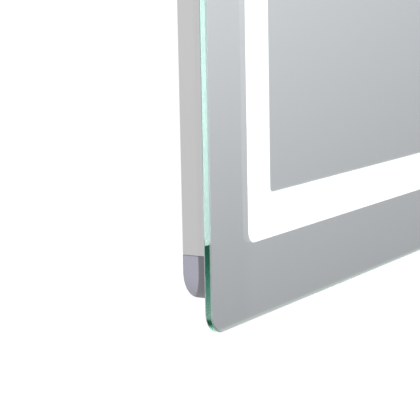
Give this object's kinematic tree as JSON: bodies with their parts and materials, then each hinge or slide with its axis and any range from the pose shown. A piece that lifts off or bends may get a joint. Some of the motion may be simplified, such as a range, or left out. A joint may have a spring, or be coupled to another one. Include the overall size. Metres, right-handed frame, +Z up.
{
  "type": "lighted bathroom mirror",
  "caption": "Rectangular lighted wall mirror with a frosted light band, satin housing sides, corner caps, and a back panel that hangs on wall hooks.",
  "frame": {"origin": "on the wall plane, in the middle of the four screw holes of the wall hooks", "axes": "+X to the right along the wall, +Y into the wall, +Z up; the mirror faces -Y"},
  "size_m": [0.6, 0.034, 0.8],
  "materials": {
    "pane_glass": "polished clear float glass, green at its edges",
    "silver": "silvered, grey protective paint on the back",
    "lit_film": "frosted white, evenly lit",
    "side_aluminium": "satin anodised, fine lengthwise grain",
    "cap_plastic": "fine matt, light grey",
    "panel_steel": "white powder coat",
    "screw_steel": "zinc plated",
    "channel_aluminium": "mill finish, extruded",
    "strip_board": "white solder mask",
    "diode_lens": "clear lens over pale yellow phosphor",
    "foam_tape": "dark closed cell foam",
    "hook_steel": "bright zinc",
    "bumper_rubber": "pale translucent",
    "driver_steel": "white enamel",
    "circuit_board": "green solder mask",
    "transformer_body": "dark moulded body",
    "capacitor_sleeve": "dark heat shrink sleeve",
    "box_plastic": "white moulding",
    "rivet_aluminium": "bright",
    "grommet_rubber": "matt black",
    "terminal_plastic": "natural white moulding",
    "terminal_brass": "plain",
    "demister_film": "printed heating film, amber",
    "sensor_plastic": "black moulding",
    "mains_jacket": "white jacket",
    "lead_jacket": "white jacket",
    "connector_plastic": "white moulding",
    "jumper_jacket": "red jacket",
    "mount_plastic": "white nylon"
  },
  "bodies": {
    "wall_side": {"wall_hooks": "hook_steel"},
    "mirror": {"mirror_glass": "pane_glass", "silver_backing": "silver", "light_band": "lit_film", "side_strip_left": "side_aluminium", "side_strip_top": "side_aluminium", "side_strip_right": "side_aluminium", "side_strip_bottom": "side_aluminium", "corner_cap_bottom_left": "cap_plastic", "corner_cap_top_left": "cap_plastic", "corner_cap_top_right": "cap_plastic", "corner_cap_bottom_right": "cap_plastic", "back_panel": "panel_steel", "panel_screws": "screw_steel", "hanging_screws": "screw_steel", "driver_screws": "screw_steel", "light_channel_left": "channel_aluminium", "light_channel_top": "channel_aluminium", "light_channel_right": "channel_aluminium", "light_channel_bottom": "channel_aluminium", "light_strip_left": "strip_board", "light_strip_top": "strip_board", "light_strip_right": "strip_board", "light_strip_bottom": "strip_board", "light_diodes_left": "diode_lens", "light_diodes_top": "diode_lens", "light_diodes_right": "diode_lens", "light_diodes_bottom": "diode_lens", "housing_tape": "foam_tape", "channel_tape": "foam_tape", "hanging_plates": "hook_steel", "wall_bumpers": "bumper_rubber", "driver_case": "driver_steel", "driver_lid": "driver_steel", "driver_board": "circuit_board", "driver_transformer": "transformer_body", "driver_capacitors": "capacitor_sleeve", "connection_box": "box_plastic", "box_rivets": "rivet_aluminium", "cable_grommet": "grommet_rubber", "terminal_block": "terminal_plastic", "terminal_screws": "terminal_brass", "demister_pad": "demister_film", "sensor_cover": "sensor_plastic", "sensor_board": "circuit_board", "mains_lead": "mains_jacket", "light_lead": "lead_jacket", "demister_lead": "lead_jacket", "sensor_lead": "lead_jacket", "strip_connector": "connector_plastic", "strip_jumpers": "jumper_jacket", "cable_mounts": "mount_plastic"},
    "box_lid": {"connection_box_lid": "box_plastic"}
  },
  "joints": [
    {"name": "lift_off", "type": "slide", "parent": "wall_side", "child": "mirror", "axis": [0, 0, 1], "range_m": [0, 0.01]},
    {"name": "lid_hinge", "type": "hinge", "parent": "mirror", "child": "box_lid", "pos_m": [0.0717, -0.0031, -0.107], "axis": [0, 0, 1], "range_deg": [0, 100]}
  ]
}
